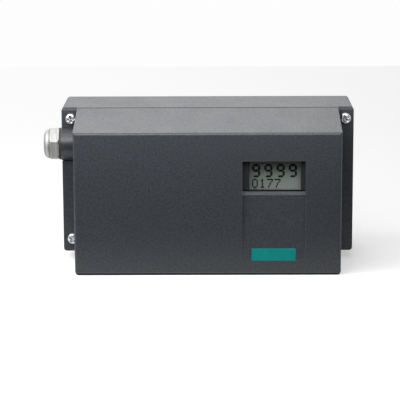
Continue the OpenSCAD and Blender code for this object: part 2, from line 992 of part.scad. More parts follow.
// Case of the electronics, open at the rear
module electronics_case() {
    color(grey_colour)
    difference() {
        union() {
            difference() {
                span([case_left, case_right], [case_front, carrier_front], [case_low, case_top]);
                span([case_left + case_wall, case_right - case_wall], [case_inside, carrier_front + 1],
                     [case_low + case_wall, case_top - case_wall]);
            }
            for (p = board_places)
                rod_y(board_boss_r, p[0], [case_inside, board_front], p[1], $fn = small_fn);
        }
        for (p = board_places)
            rod_y(board_screw_r, p[0], [case_inside + 0.5, board_front + 1], p[1], $fn = small_fn);
        span([window_left - lcd_margin, window_right + lcd_margin], [case_front - 1, case_inside + 1],
             [recess_top - window_h - lcd_margin, recess_top + lcd_margin]);
        for (x = key_x)
            rod_y(key_r + key_gap, x, [case_front - 1, case_inside + 1], key_z);
    }
}

// Printed circuit board behind the case front
module main_board() {
    color(board_colour)
    difference() {
        span([case_left + case_wall + board_gap, case_right - case_wall - board_gap],
             [board_front, board_front + board_t],
             [case_low + case_wall + board_gap, case_top - case_wall - board_gap]);
        for (p = board_places)
            rod_y(board_screw_r, p[0], [board_front - 1, board_front + board_t + 1], p[1], $fn = small_fn);
    }
}

// Four screws that hold the board on the case's bosses
module board_screws() {
    color(steel_colour)
    for (p = board_places)
        union() {
            rod_y(board_screw_head_r, p[0],
                  [board_front + board_t, board_front + board_t + board_screw_head_h], p[1], $fn = small_fn);
            rod_y(board_screw_r, p[0], [board_front - board_screw_bite, board_front + board_t], p[1],
                  $fn = small_fn);
        }
}

// Chips on the front of the board, left of the display
module board_chips() {
    chip_x = case_left + case_wall + chip_in;
    color(rubber_colour)
    for (z = [case_low + chip_in, case_low + chip_in + chip_step])
        span([chip_x, chip_x + chip_w], [board_front - chip_t, board_front], [z, z + chip_w]);
}

// Three small switches under the keys
module key_switches() {
    color(pale_colour)
    for (x = key_x)
        span([x - switch_w / 2, x + switch_w / 2], [board_front - switch_h, board_front],
             [key_z - switch_w / 2, key_z + switch_w / 2]);
}

// A round key held behind the case front by its rim
module round_key(x) {
    color(pale_colour)
    union() {
        rod_y(key_r, x, [case_front - key_out, case_inside], key_z);
        rod_y(key_r + key_rim, x, [case_inside, case_inside + key_rim_t], key_z);
    }
}

// Left key, which changes the mode
module key_mode() {
    round_key(key_x[0]);
}

// Middle key, which steps down
module key_down() {
    round_key(key_x[1]);
}

// Right key, which steps up
module key_up() {
    round_key(key_x[2]);
}

// Liquid crystal display behind the window
module lcd_module() {
    in = lcd_margin - 0.1;
    color(lcd_colour)
    union() {
        span([window_left - in, window_right + in], [lcd_front, case_inside],
             [recess_top - window_h - in, recess_top + in]);
        span([window_left - in - lcd_rim, window_right + in + lcd_rim],
             [case_inside, case_inside + lcd_rim_t],
             [recess_top - window_h - in - lcd_rim, recess_top + in + lcd_rim]);
    }
}

// Terminal strip for the signal cable
module terminal_block() {
    color(pale_colour)
    difference() {
        span([term_left, term_left + term_w], [carrier_front - term_d, carrier_front],
             [-term_half, term_half]);
        for (i = [0 : term_count - 1]) {
            z = -term_half + (i + 0.5) * term_pitch;
            rod_y(term_screw_r, term_left + term_w / 2,
                  [carrier_front - term_d - 1, carrier_front - term_d + term_hole], z, $fn = small_fn);
            rod_x(term_wire_r, [term_left - 1, term_left + term_hole], carrier_front - term_wire_y, z,
                  $fn = small_fn);
        }
    }
}

// Slotted clamp screws of the terminals
module terminal_screws() {
    x = term_left + term_w / 2;
    head = carrier_front - term_d + term_screw_set;
    color(steel_colour)
    for (i = [0 : term_count - 1]) {
        z = -term_half + (i + 0.5) * term_pitch;
        difference() {
            rod_y(term_screw_r, x, [head, carrier_front - term_d + term_hole], z, $fn = small_fn);
            span([x - term_screw_r, x + term_screw_r], [head - 1, head + m3_slot_depth],
                 [z - m3_slot_w / 2, z + m3_slot_w / 2]);
        }
    }
}

base_shell();
cover_shell();
cover_gasket();
cover_screws();
display_window();
mounting_inserts();
shaft_bush();
shaft_seal();
feedback_shaft();
drive_gear();
clutch_washer();
clutch_wheel();
shaft_circlip();
potentiometer();
pot_shaft();
pot_gear();
sensor_plate();
sensor_screws();
gland_body();
gland_o_ring();
gland_seal();
gland_dome_nut();
port_block();
block_screws();
pilot_valve();
restrictor_upper();
restrictor_lower();
exhaust_silencer();
electronics_carrier();
carrier_screws();
electronics_case();
main_board();
board_screws();
board_chips();
key_switches();
key_mode();
key_down();
key_up();
lcd_module();
terminal_block();
terminal_screws();
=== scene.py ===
"""Looks of the valve positioner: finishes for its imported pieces, and the small pieces left plain in the CAD.

Everything is in metres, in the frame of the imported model: the front looks along -Y and +Z is up.
"""
import json
import math

import bpy
import numpy as np
from mathutils import Matrix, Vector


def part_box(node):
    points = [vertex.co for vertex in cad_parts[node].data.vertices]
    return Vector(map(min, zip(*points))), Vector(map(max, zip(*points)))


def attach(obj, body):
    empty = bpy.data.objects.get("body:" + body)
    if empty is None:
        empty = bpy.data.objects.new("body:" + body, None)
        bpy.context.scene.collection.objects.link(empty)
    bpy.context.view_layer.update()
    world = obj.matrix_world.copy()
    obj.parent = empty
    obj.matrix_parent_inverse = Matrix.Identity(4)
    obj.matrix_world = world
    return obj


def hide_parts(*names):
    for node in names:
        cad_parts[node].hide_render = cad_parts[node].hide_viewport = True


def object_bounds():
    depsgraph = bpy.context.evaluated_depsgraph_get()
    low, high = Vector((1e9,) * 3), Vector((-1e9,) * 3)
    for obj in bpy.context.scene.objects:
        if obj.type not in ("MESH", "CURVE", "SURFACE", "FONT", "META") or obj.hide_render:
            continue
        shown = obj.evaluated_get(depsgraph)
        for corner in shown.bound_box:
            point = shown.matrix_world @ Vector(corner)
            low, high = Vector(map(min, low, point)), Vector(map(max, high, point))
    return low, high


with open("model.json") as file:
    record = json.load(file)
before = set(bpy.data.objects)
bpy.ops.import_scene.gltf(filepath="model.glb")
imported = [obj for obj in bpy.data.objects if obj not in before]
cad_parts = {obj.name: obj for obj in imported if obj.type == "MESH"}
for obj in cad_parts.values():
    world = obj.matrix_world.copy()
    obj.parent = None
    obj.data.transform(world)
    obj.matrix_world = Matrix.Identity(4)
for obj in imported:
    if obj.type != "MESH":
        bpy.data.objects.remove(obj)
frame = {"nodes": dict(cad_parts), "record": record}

MM = 0.001
cad_low, cad_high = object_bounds()
scene = bpy.context.scene


# Places on the frame that finishes and pieces share

SCREW_SHANK_L = 16 * MM
BOSS_STEP = 0.2 * MM
DARK_RIM_H = 1.45 * MM
NUT_DOME_L = 3.5 * MM
screws_low, screws_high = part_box("cover_screws")
cover_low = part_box("cover_shell")[0]
ear_face = screws_high.y - SCREW_SHANK_L
boss_front = ear_face - BOSS_STEP
# Height up to which the cover's lower rim gets painted shade
cover_rim = cover_low.z + DARK_RIM_H
# Where the nut's dome meets its flats: a crease that gets a painted shade line
nut_shade_line = cad_low.x + NUT_DOME_L


# Node helpers

def put(tree, socket, value):
    """Links an output to an input socket, or sets the socket's own value."""
    if isinstance(value, bpy.types.NodeSocket):
        tree.links.new(value, socket)
    else:
        socket.default_value = value


def add(tree, kind, inputs=None, **settings):
    """Adds one node, with its settings and its inputs by name or number."""
    made = tree.nodes.new(kind)
    for key, value in settings.items():
        setattr(made, key, value)
    for key, value in (inputs or {}).items():
        put(tree, made.inputs[key], value)
    return made


def math_of(tree, operation, first, second=0.0):
    """One sum on one or two values."""
    return add(tree, "ShaderNodeMath", {0: first, 1: second}, operation=operation).outputs[0]


def spread(tree, value, low, high, to_low=0.0, to_high=1.0):
    """Carries the range from low to high over to another range, and holds it there."""
    return add(tree, "ShaderNodeMapRange", {
        "Value": value, "From Min": low, "From Max": high, "To Min": to_low, "To Max": to_high,
    }).outputs["Result"]


def blend_value(tree, share, first, second):
    """Mixes two values by a share from 0 to 1."""
    return add(tree, "ShaderNodeMix", {0: share, 2: first, 3: second}, data_type="FLOAT").outputs[0]


def blend_colour(tree, share, first, second):
    """Mixes two colours by a share from 0 to 1."""
    return add(tree, "ShaderNodeMix", {0: share, 6: first, 7: second}, data_type="RGBA").outputs[2]


def lay_over(tree, base, mask, share, colour):
    """Lays a colour over a base, as far as a mask times a share."""
    return blend_colour(tree, spread(tree, mask, 0, 1, 0, share), base, rgba(colour))


def place(tree):
    """The point on the piece, in the piece's own frame."""
    return add(tree, "ShaderNodeTexCoord").outputs["Object"]


def place_along(tree, axis):
    """That point's place along one axis."""
    return add(tree, "ShaderNodeSeparateXYZ", {"Vector": place(tree)}).outputs[axis]


def noise(tree, size, detail):
    """Cloudy noise whose features are about that many metres wide, from 0 to 1."""
    return add(tree, "ShaderNodeTexNoise", {
        "Vector": place(tree), "Scale": 1.0 / size, "Detail": detail}).outputs[0]


def rgba(colour):
    """The colour as a socket takes it, fully opaque."""
    return (*colour, 1.0)


def grey(value):
    """A grey as a socket takes it."""
    return rgba((value, value, value))


# Shared effects

def new_effect(name, inputs, outputs):
    """An empty node group with its sockets, and its two end nodes."""
    tree = bpy.data.node_groups.new(name, "ShaderNodeTree")
    for label, value in inputs.items():
        kind = "NodeSocketVector" if isinstance(value, tuple) else "NodeSocketFloat"
        socket = tree.interface.new_socket(label, in_out="INPUT", socket_type=kind)
        socket.default_value = value
    for label in outputs:
        tree.interface.new_socket(label, in_out="OUTPUT", socket_type="NodeSocketFloat")
    return tree, tree.nodes.new("NodeGroupInput"), tree.nodes.new("NodeGroupOutput")


def use_effect(tree, effect, inputs):
    """Places an effect in a material with that material's own values."""
    return add(tree, "ShaderNodeGroup", inputs, node_tree=effect).outputs


def make_spark_grain():
    """The eroded grain of a moulding tool: fine speckle over a slow mottle, and the height of the grain."""
    tree, given, result = new_effect(
        "spark_grain", {"Grain Scale": 1300.0, "Mottle Scale": 28.0}, ("Speckle", "Mottle", "Height"))
    point = place(tree)
    fine = add(tree, "ShaderNodeTexNoise", {
        "Vector": point, "Scale": given.outputs["Grain Scale"], "Detail": 2.5, "Roughness": 0.65}).outputs[0]
    slow = add(tree, "ShaderNodeTexNoise", {
        "Vector": point, "Scale": given.outputs["Mottle Scale"], "Detail": 4.0}).outputs[0]
    pits = add(tree, "ShaderNodeTexVoronoi", {
        "Vector": point, "Scale": given.outputs["Grain Scale"]}).outputs["Distance"]
    put(tree, result.inputs["Speckle"], spread(tree, fine, 0.32, 0.68))
    put(tree, result.inputs["Mottle"], spread(tree, slow, 0.3, 0.7))
    put(tree, result.inputs["Height"], math_of(tree, "ADD", fine, math_of(tree, "MULTIPLY", pits, 0.4)))
    return tree


def make_edge_wear_and_highlight():
    """Rubbed wear and painted highlight on edges: where the rounded normal leaves the flat one, broken up by
    noise.
    """
    tree, given, result = new_effect("edge_wear_and_highlight", {"Radius": 0.6 * MM, "Patch Scale": 160.0}, ("Mask",))
    rounded = add(tree, "ShaderNodeBevel", {"Radius": given.outputs["Radius"]}, samples=6).outputs[0]
    flat = add(tree, "ShaderNodeNewGeometry").outputs["Normal"]
    alike = add(tree, "ShaderNodeVectorMath", {0: rounded, 1: flat}, operation="DOT_PRODUCT").outputs["Value"]
    edge = spread(tree, alike, 0.995, 0.86)
    patch = add(tree, "ShaderNodeTexNoise", {
        "Vector": place(tree), "Scale": given.outputs["Patch Scale"], "Detail": 3.0}).outputs[0]
    broken = spread(tree, patch, 0.25, 0.6, 0.35, 1.0)
    put(tree, result.inputs["Mask"], math_of(tree, "MULTIPLY", edge, broken))
    return tree


def make_tool_marks():
    """Fine parallel lines of turning, milling or brushing: noise squeezed by a factor on each axis."""
    tree, given, result = new_effect("tool_marks", {"Lines": (2500.0, 60.0, 60.0)}, ("Streak", "Smudge"))
    point = place(tree)
    squeezed = add(tree, "ShaderNodeVectorMath", {0: point, 1: given.outputs["Lines"]},
                   operation="MULTIPLY").outputs["Vector"]
    lines = add(tree, "ShaderNodeTexNoise", {"Vector": squeezed, "Scale": 1.0, "Detail": 3.0}).outputs[0]
    smear = add(tree, "ShaderNodeTexNoise", {"Vector": point, "Scale": 110.0, "Detail": 3.0}).outputs[0]
    put(tree, result.inputs["Streak"], spread(tree, lines, 0.3, 0.7))
    put(tree, result.inputs["Smudge"], spread(tree, smear, 0.35, 0.7))
    return tree


def make_settled_dust():
    """A thin film on what faces up, in patches."""
    tree, given, result = new_effect("settled_dust", {"Patch Scale": 55.0}, ("Mask",))
    normal = add(tree, "ShaderNodeNewGeometry").outputs["Normal"]
    rise = add(tree, "ShaderNodeSeparateXYZ", {0: normal}).outputs["Z"]
    patch = add(tree, "ShaderNodeTexNoise", {
        "Vector": place(tree), "Scale": given.outputs["Patch Scale"], "Detail": 5.0}).outputs[0]
    put(tree, result.inputs["Mask"],
        math_of(tree, "MULTIPLY", spread(tree, rise, 0.5, 1.0), spread(tree, patch, 0.35, 0.75)))
    return tree


spark_grain = make_spark_grain()
edge_wear_and_highlight = make_edge_wear_and_highlight()
tool_marks = make_tool_marks()
settled_dust = make_settled_dust()


# Finishes

DUST_COLOUR = (0.34, 0.33, 0.31)
FINE_EDGE = 0.3 * MM
# Lower than a real plastic's, which would fill the pane's deep lower edge with bright streaks from above
PANE_IOR = 1.12


def bare_material(name):
    """A material without any nodes yet."""
    material = bpy.data.materials.new(name)
    material.use_nodes = True
    material.node_tree.nodes.clear()
    return material, material.node_tree


def new_finish(name):
    """A material with only a Principled shader, which the finish then feeds."""
    material, tree = bare_material(name)
    shader = tree.nodes.new("ShaderNodeBsdfPrincipled")
    output = tree.nodes.new("ShaderNodeOutputMaterial")
    tree.links.new(shader.outputs[0], output.inputs["Surface"])
    return material, tree, shader


def moulding(name, colour, rough, grain, speckle=0.2, edge_lightening=0.3, dust=0.1, relief=0.2, gloss=0.5,
             smooth_front=None, shaded_foot=None):
    """A moulded piece: speckled colour, worn and painted-highlight edges, a little dust, and the grain as
    relief.

    What stands in front of smooth_front, a place along Y, is moulded smooth and shines more. Below
    the given foot height the rim's colour is darkened as painted shade, and just above it a narrow line
    is lightened as a painted highlight.
    """
    material, tree, shader = new_finish(name)
    colour = np.array(colour)
    marks = use_effect(tree, spark_grain, {"Grain Scale": grain})
    worn_and_lit_edges = use_effect(tree, edge_wear_and_highlight, {"Radius": 0.6 * MM})["Mask"]
    film = use_effect(tree, settled_dust, {})["Mask"]
    base = blend_colour(tree, marks["Speckle"], rgba(colour * (1 - speckle)), rgba(colour * (1 + speckle)))
    base = lay_over(tree, base, marks["Mottle"], 0.35, colour * 0.9)
    # Edges lightened: partly rubbed wear, partly a painted highlight
    base = lay_over(tree, base, worn_and_lit_edges, edge_lightening, colour * 1.7 + 0.03)
    base = lay_over(tree, base, film, dust, DUST_COLOUR)
    roughness = spread(tree, marks["Speckle"], 0, 1, rough + 0.05, rough - 0.05)
    bump = add(tree, "ShaderNodeBump", {"Height": marks["Height"], "Strength": relief, "Distance": 0.12 * MM})
    if smooth_front is not None:
        smooth = spread(tree, place_along(tree, "Y"), smooth_front, smooth_front - 0.4 * MM)
        roughness = math_of(tree, "MULTIPLY", roughness, spread(tree, smooth, 0, 1, 1.0, 0.78))
        put(tree, bump.inputs["Strength"], spread(tree, smooth, 0, 1, relief, 0.1 * relief))
    if shaded_foot is not None:
        # Painted shade on the rim below the foot height, and a painted highlight in a narrow line above it
        height = place_along(tree, "Z")
        pale = spread(tree, height, shaded_foot + 0.7 * MM, shaded_foot + 0.2 * MM)
        painted_shade = spread(tree, height, shaded_foot + 0.1 * MM, shaded_foot - 0.1 * MM)
        base = blend_colour(tree, pale, base, rgba(colour * 2.0))
        base = blend_colour(tree, painted_shade, base, rgba(colour * 0.05))
        roughness = blend_value(tree, painted_shade, roughness, 0.95)
    put(tree, shader.inputs["Base Color"], base)
    put(tree, shader.inputs["Roughness"], roughness)
    put(tree, shader.inputs["Normal"], bump.outputs[0])
    shader.inputs["Specular IOR Level"].default_value = gloss
    return material


def worked_metal(name, colour, rough, lines, streak=0.12, relief=0.05, edge_lightening=0.5, shade_line_at=None):
    """A turned, milled or brushed metal: tool marks in colour, sheen and relief, and brighter edges of wear
    and painted highlight.

    At a given place along X, a thin line is darkened as painted shade in the crease there.
    """
    material, tree, shader = new_finish(name)
    colour = np.array(colour)
    marks = use_effect(tree, tool_marks, {"Lines": lines})
    worn_and_lit_edges = use_effect(tree, edge_wear_and_highlight, {"Radius": FINE_EDGE, "Patch Scale": 420.0})["Mask"]
    bright = rgba(np.minimum(colour * (1 + streak), 1))
    base = blend_colour(tree, marks["Streak"], rgba(colour * (1 - streak)), bright)
    base = lay_over(tree, base, marks["Smudge"], 0.3, colour * 0.82)
    # Edges lightened: partly rubbed wear, partly a painted highlight
    base = lay_over(tree, base, worn_and_lit_edges, edge_lightening, np.minimum(colour * 1.25, 1))
    if shade_line_at is not None:
        # Painted shade: a thin dark line in the crease at that place
        away = math_of(tree, "ABSOLUTE", math_of(tree, "SUBTRACT", place_along(tree, "X"), shade_line_at))
        base = blend_colour(tree, spread(tree, away, 0.45 * MM, 0.2 * MM), base, rgba(colour * 0.45))
    bump = add(tree, "ShaderNodeBump", {"Height": marks["Streak"], "Strength": relief, "Distance": 0.05 * MM})
    put(tree, shader.inputs["Base Color"], base)
    put(tree, shader.inputs["Roughness"], spread(tree, marks["Smudge"], 0, 1, rough - 0.05, rough + 0.08))
    put(tree, shader.inputs["Normal"], bump.outputs[0])
    shader.inputs["Metallic"].default_value = 1.0
    return material


def sintered_bronze(name, colour):
    """Pressed metal beads: round cells in colour and relief."""
    material, tree, shader = new_finish(name)
    colour = np.array(colour)
    cells = add(tree, "ShaderNodeTexVoronoi", {"Vector": place(tree), "Scale": 2400.0}).outputs["Distance"]
    worn_and_lit_edges = use_effect(tree, edge_wear_and_highlight, {"Radius": FINE_EDGE})["Mask"]
    base = blend_colour(tree, spread(tree, cells, 0.1, 0.7), rgba(colour * 1.15), rgba(colour * 0.5))
    # Edges lightened: partly rubbed wear, partly a painted highlight
    base = lay_over(tree, base, worn_and_lit_edges, 0.4, colour * 1.4)
    bump = add(tree, "ShaderNodeBump", {"Height": cells, "Strength": 0.6, "Distance": 0.15 * MM}, invert=True)
    put(tree, shader.inputs["Base Color"], base)
    put(tree, shader.inputs["Roughness"], spread(tree, cells, 0, 0.7, 0.35, 0.6))
    put(tree, shader.inputs["Normal"], bump.outputs[0])
    shader.inputs["Metallic"].default_value = 1.0
    return material


def clear_pane(name):
    """Clear moulded pane: smears in the polish, and no shadow of its own on what lies behind."""
    material, tree, shader = new_finish(name)
    smear = noise(tree, 9 * MM, 3.0)
    clean, smeared = rgba((0.97, 0.98, 0.98)), rgba((0.93, 0.95, 0.95))
    put(tree, shader.inputs["Base Color"], blend_colour(tree, spread(tree, smear, 0.4, 0.8), clean, smeared))
    put(tree, shader.inputs["Roughness"], spread(tree, smear, 0.35, 0.75, 0.01, 0.05))
    shader.inputs["Transmission Weight"].default_value = 1.0
    shader.inputs["IOR"].default_value = PANE_IOR
    through = add(tree, "ShaderNodeBsdfTransparent", {"Color": rgba((0.92, 0.94, 0.94))})
    shadow = add(tree, "ShaderNodeLightPath").outputs["Is Shadow Ray"]
    mixed = add(tree, "ShaderNodeMixShader", {0: shadow, 1: shader.outputs[0], 2: through.outputs[0]})
    put(tree, tree.nodes["Material Output"].inputs["Surface"], mixed.outputs[0])
    return material


def display_glass(name, colour):
    """Reflective display: a soft grey-green ground with a very fine cell pattern and slow clouding."""
    material, tree, shader = new_finish(name)
    colour = np.array(colour)
    cells = add(tree, "ShaderNodeTexVoronoi", {"Vector": place(tree), "Scale": 3600.0}).outputs["Distance"]
    cloud = noise(tree, 14 * MM, 3.0)
    base = blend_colour(tree, spread(tree, cells, 0.0, 0.8), rgba(colour * 0.92), rgba(colour * 1.08))
    base = blend_colour(tree, spread(tree, cloud, 0.3, 0.7, 0.0, 0.5), base, rgba(colour * 0.85))
    put(tree, shader.inputs["Base Color"], base)
    put(tree, shader.inputs["Roughness"], spread(tree, cloud, 0.3, 0.7, 0.42, 0.55))
    return material


def printed_ink(name, colour, uneven):
    """A thin print, such as the display's figures or the window's border, in one slightly uneven colour."""
    material, tree, shader = new_finish(name)
    colour = np.array(colour)
    cloud = noise(tree, 2 * MM, 2.0)
    thin, thick = rgba(colour * (1 - uneven)), rgba(colour * (1 + uneven))
    put(tree, shader.inputs["Base Color"], blend_colour(tree, spread(tree, cloud, 0.3, 0.7), thin, thick))
    put(tree, shader.inputs["Roughness"], spread(tree, cloud, 0.3, 0.7, 0.5, 0.62))
    shader.inputs["Specular IOR Level"].default_value = 0.1
    return material


def circuit_board(name, colour):
    """Green solder resist with paler tracks: a brick pattern of narrow runs over cloudy resist."""
    material, tree, shader = new_finish(name)
    colour = np.array(colour)
    upright = (math.radians(90), 0, 0)
    turned = add(tree, "ShaderNodeMapping", {"Vector": place(tree), "Rotation": upright}).outputs[0]
    tracks = add(tree, "ShaderNodeTexBrick", {
        "Vector": turned, "Scale": 90.0, "Mortar Size": 0.03, "Color1": rgba(colour),
        "Color2": rgba(colour * 0.9), "Mortar": rgba(colour * 1.8 + 0.01)}).outputs
    cloud = noise(tree, 6 * MM, 3.0)
    patches = spread(tree, cloud, 0.3, 0.7, 0, 0.4)
    put(tree, shader.inputs["Base Color"], blend_colour(tree, patches, tracks["Color"], rgba(colour * 0.7)))
    put(tree, shader.inputs["Roughness"], spread(tree, cloud, 0.3, 0.7, 0.25, 0.4))
    bump = add(tree, "ShaderNodeBump", {"Height": tracks["Fac"], "Strength": 0.3, "Distance": 0.04 * MM})
    put(tree, shader.inputs["Normal"], bump.outputs[0])
    return material


def teal_enamel(name):
    """Printed plate: even teal with faint clouding, and edges lightened as wear and painted highlight."""
    material, tree, shader = new_finish(name)
    cloud = noise(tree, 3 * MM, 3.0)
    worn_and_lit_edges = use_effect(tree, edge_wear_and_highlight, {"Radius": FINE_EDGE})["Mask"]
    deep, light = rgba((0.001, 0.196, 0.184)), rgba((0.002, 0.226, 0.212))
    base = blend_colour(tree, spread(tree, cloud, 0.3, 0.7), deep, light)
    # Edges lightened: partly rubbed wear, partly a painted highlight
    base = lay_over(tree, base, worn_and_lit_edges, 0.3, (0.06, 0.32, 0.31))
    put(tree, shader.inputs["Base Color"], base)
    put(tree, shader.inputs["Roughness"], spread(tree, cloud, 0.3, 0.7, 0.34, 0.42))
    shader.inputs["Specular IOR Level"].default_value = 0.15
    return material


HOUSING_GREY = (0.0280, 0.0318, 0.0375)
HOUSING_GRAIN = {"rough": 0.42, "grain": 900, "speckle": 0.5, "edge_lightening": 0.8, "relief": 0.6, "gloss": 0.42}
finishes = {
    "base_plastic": moulding("housing_grey_base", HOUSING_GREY, **HOUSING_GRAIN, smooth_front=boss_front),
    # The cover's lower rim gets painted shade, with a painted highlight line just above it
    "cover_plastic": moulding("housing_grey_cover", HOUSING_GREY, **HOUSING_GRAIN, dust=0.06,
                              shaded_foot=cover_rim),
    "rubber": moulding("black_rubber", (0.012, 0.012, 0.013), rough=0.72, grain=1800, dust=0.15, gloss=0.3),
    "amber_rubber": moulding("brown_ring", (0.024, 0.0175, 0.013), rough=0.6, grain=1800, edge_lightening=0.2,
                             gloss=0.4),
    "steel": worked_metal("zinc_steel", (0.56, 0.57, 0.59), rough=0.29, lines=(140.0, 2600.0, 140.0),
                          streak=0.1),
    "nickel": worked_metal("satin_nickel", (0.35, 0.348, 0.344), rough=0.58, lines=(1200.0, 60.0, 60.0),
                           streak=0.32, relief=0.08, edge_lightening=0.6, shade_line_at=nut_shade_line),
    "brass": worked_metal("turned_brass", (0.66, 0.48, 0.20), rough=0.3, lines=(120.0, 2400.0, 120.0)),
    "bronze": sintered_bronze("sintered_bronze", (0.46, 0.30, 0.15)),
    "alloy": worked_metal("milled_alloy", (0.56, 0.57, 0.59), rough=0.36, lines=(90.0, 90.0, 1800.0),
                          relief=0.08, edge_lightening=0.6),
    "window": clear_pane("clear_pane"),
    "lcd": display_glass("display_ground", (0.108, 0.118, 0.108)),
    "board": circuit_board("green_board", (0.02, 0.13, 0.06)),
    "gear_plastic": moulding("natural_acetal", (0.66, 0.64, 0.56), rough=0.42, grain=900, speckle=0.03,
                             relief=0.08),
    "wheel_plastic": moulding("yellow_acetal", (0.60, 0.37, 0.03), rough=0.42, grain=900, speckle=0.05,
                              relief=0.08),
    "blue_plastic": moulding("blue_moulding", (0.04, 0.13, 0.29), rough=0.36, grain=1100, speckle=0.08,
                             relief=0.1),
    "grey_plastic": moulding("grey_moulding", (0.16, 0.168, 0.178), rough=0.48, grain=1200, speckle=0.1,
                             edge_lightening=0.4, dust=0.08),
    "dark_plastic": moulding("black_moulding", (0.02, 0.02, 0.022), rough=0.5, grain=1200, speckle=0.18,
                             edge_lightening=0.4, dust=0.12),
    "pale_plastic": moulding("pale_moulding", (0.56, 0.56, 0.52), rough=0.46, grain=1100, speckle=0.04,
                             dust=0.08, relief=0.12),
    "key_plastic": moulding("key_cap_moulding", (0.66, 0.65, 0.60), rough=0.4, grain=1000, speckle=0.03,
                            dust=0.06, relief=0.1),
}
for row in frame["record"]["subparts"]:
    for held in frame["nodes"][row["node"]].material_slots:
        held.material = finishes[row["material_slot"]]


# Pieces worked out as surfaces

def make_piece(name, points, faces, finish, body, slot=None):
    """Puts points and outward faces into a mesh, gives it a finish and lets it ride on a body."""
    mesh = bpy.data.meshes.new(name)
    mesh.from_pydata(points.tolist(), [], faces)
    mesh.update()
    mesh.materials.append(finish)
    piece = bpy.data.objects.new(name, mesh)
    scene.collection.objects.link(piece)
    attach(piece, body)
    return piece


def enclosed_volume(points, faces):
    """Volume inside: the sum of the signed pyramids from the origin to each face's triangles."""
    corners = [(f[0], f[k], f[k + 1]) for f in faces for k in range(1, len(f) - 1)]
    a, b, c = points[np.array(corners)].transpose(1, 0, 2)
    return float(np.einsum("ij,ij->i", a, np.cross(b, c)).sum()) / 6


def outward(points, faces):
    """The same faces, turned round if they look inward."""
    return faces if enclosed_volume(points, faces) > 0 else [f[::-1] for f in faces]


def stacked_rings(rings, first, last):
    """Skin through a stack of closed rings with a pole at each end.

    Neighbouring rings are joined by four-sided faces, and each pole to its ring by a fan.
    """
    count, around = rings.shape[:2]
    index = np.arange(count * around).reshape(count, around)
    ahead = np.roll(index, -1, axis=1)
    walls = np.stack([index[:-1], ahead[:-1], ahead[1:], index[1:]], axis=-1).reshape(-1, 4)
    start, end = count * around, count * around + 1
    front = np.stack([np.full(around, start), ahead[0], index[0]], axis=-1)
    back = np.stack([np.full(around, end), index[-1], ahead[-1]], axis=-1)
    points = np.concatenate([rings.reshape(-1, 3), [first], [last]])
    faces = walls.tolist() + front.tolist() + back.tolist()
    return points, outward(points, faces)


def round_rectangle(width, height, radius, inset, steps=64):
    """Closed path: a circle of angles whose quarters are pushed out to the corners, pulled in by an inset."""
    angle = (np.arange(steps) + 0.5) * 2 * np.pi / steps
    across = np.sign(np.cos(angle)) * (width / 2 - radius) + (radius - inset) * np.cos(angle)
    up = np.sign(np.sin(angle)) * (height / 2 - radius) + (radius - inset) * np.sin(angle)
    return across, up


def plate_with_soft_rim(width, height, thickness, centre, front):
    """Thin plate: a quarter-round profile carried round a rounded rectangle, from the back to the front."""
    rim = 0.25 * MM
    corner = 0.5 * MM
    middle_x, middle_z = centre
    turn = np.linspace(0, np.pi / 2, 6)
    insets = np.concatenate([[0.0], rim * (1 - np.cos(turn))])
    levels = np.concatenate([[thickness], rim * (1 - np.sin(turn))])
    rings = []
    for inset, level in zip(insets, levels):
        across, up = round_rectangle(width, height, corner, inset)
        depth = np.full_like(across, front + level)
        rings.append(np.stack([middle_x + across, depth, middle_z + up], axis=-1))
    back_pole = [middle_x, front + thickness, middle_z]
    front_pole = [middle_x, front, middle_z]
    return stacked_rings(np.array(rings), back_pole, front_pole)


def pan_head_screw(seat, head_r, head_h, shank_r, shank_l, turn):
    """Screw along +Y from its seat: a domed head with a cross recess, and a shank with a helical thread.

    The head is a rounded dome over two parameters, the way up the dome and the angle round it, and the recess
    is a smooth drop wherever the point lies on either arm of the cross. The shank's radius follows a
    three-cornered wave of the height less the share of a turn.
    """
    around, dome_rings, shank_rings = 72, 40, 150
    arm_w, arm_l, deep, soft = 0.65 * MM, 2.3 * MM, 1.7 * MM, 0.06 * MM
    pitch, depth, tip_l = 0.7 * MM, 0.32 * MM, 1.2 * MM

    def within(limit, value):
        """Goes softly from 1 inside a limit on either side of zero to 0 outside it."""
        return 1 / (1 + np.exp((np.abs(value) - limit) / soft))

    angle = np.arange(around) * 2 * np.pi / around
    rise = np.linspace(0, np.pi / 2, dome_rings)[:-1][:, None]
    radius = head_r * np.cos(rise) ** 0.55 * np.ones_like(angle)
    dome = head_h * np.sin(rise) ** 0.8 * np.ones_like(angle)
    along = radius * np.cos(angle - turn)
    beside = radius * np.sin(angle - turn)
    arm = within(arm_w, along) * within(arm_l, beside)
    other_arm = within(arm_w, beside) * within(arm_l, along)
    cross = np.maximum(arm, other_arm)
    head = np.stack([radius * np.cos(angle), deep * cross - dome, radius * np.sin(angle)], axis=-1)
    height = np.linspace(0, shank_l, shank_rings)[:, None]
    wave = np.abs(((height / pitch - angle / (2 * np.pi)) % 1) * 2 - 1)
    taper = np.clip((shank_l - height) / tip_l, 0.55, 1)
    thread = (shank_r - depth * wave) * taper
    shank = np.stack([thread * np.cos(angle), height + 0 * angle, thread * np.sin(angle)], axis=-1)
    rings = np.concatenate([shank[::-1], head]) + np.array(seat)
    tip = np.array(seat) + [0, shank_l, 0]
    crown = np.array(seat) + [0, deep - head_h, 0]
    return stacked_rings(rings, tip, crown)


